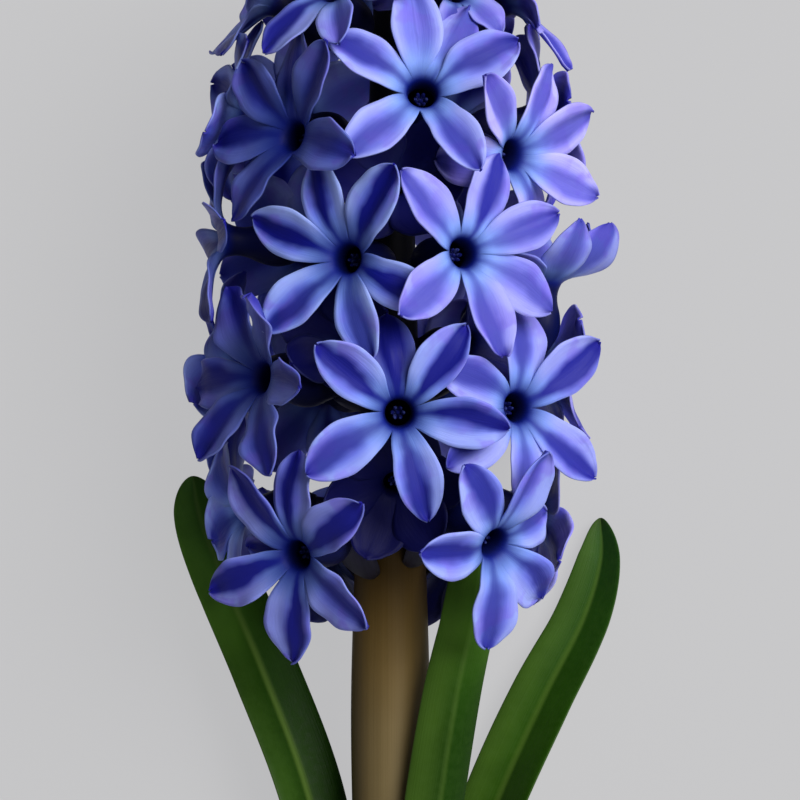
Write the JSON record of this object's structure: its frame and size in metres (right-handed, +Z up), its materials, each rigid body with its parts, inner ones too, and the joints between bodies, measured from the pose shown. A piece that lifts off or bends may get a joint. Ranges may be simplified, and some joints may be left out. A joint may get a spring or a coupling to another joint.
{
  "type": "hyacinth flower",
  "caption": "Picked hyacinth lying on its back: a fleshy stalk with strap leaves and a dense head of six-lobed bell florets.",
  "frame": {"origin": "middle of the bounding box at the height of the surface it lies on", "axes": "+Y along the stalk from the cut end to the top of the head, +Z up from the surface, +X to the right seen from above with the head away"},
  "size_m": [0.0816, 0.202, 0.0707],
  "materials": {
    "petal": "satin waxy petal, blue to indigo, paler at the edges",
    "stalk": "soft fleshy stalk, brown olive with fine fibres along it",
    "leaf": "smooth satin leaf, deep green, paler along its fold"
  },
  "bodies": {
    "root": {"stalk": "stalk", "leaf_left": "leaf", "leaf_right": "leaf", "leaf_middle": "leaf", "floret_01": "petal", "floret_02": "petal", "floret_03": "petal", "floret_04": "petal", "floret_05": "petal", "floret_06": "petal", "floret_07": "petal", "floret_08": "petal", "floret_09": "petal", "floret_10": "petal", "floret_11": "petal", "floret_12": "petal", "floret_13": "petal", "floret_14": "petal", "floret_15": "petal", "floret_16": "petal", "floret_17": "petal", "floret_18": "petal", "floret_19": "petal", "floret_20": "petal", "floret_21": "petal", "floret_22": "petal", "floret_23": "petal", "floret_24": "petal", "floret_25": "petal", "floret_26": "petal", "floret_27": "petal", "floret_28": "petal", "floret_29": "petal", "floret_30": "petal", "floret_31": "petal", "floret_32": "petal", "floret_33": "petal", "floret_34": "petal", "floret_35": "petal", "floret_36": "petal", "floret_37": "petal", "floret_38": "petal", "floret_39": "petal"}
  },
  "joints": []
}
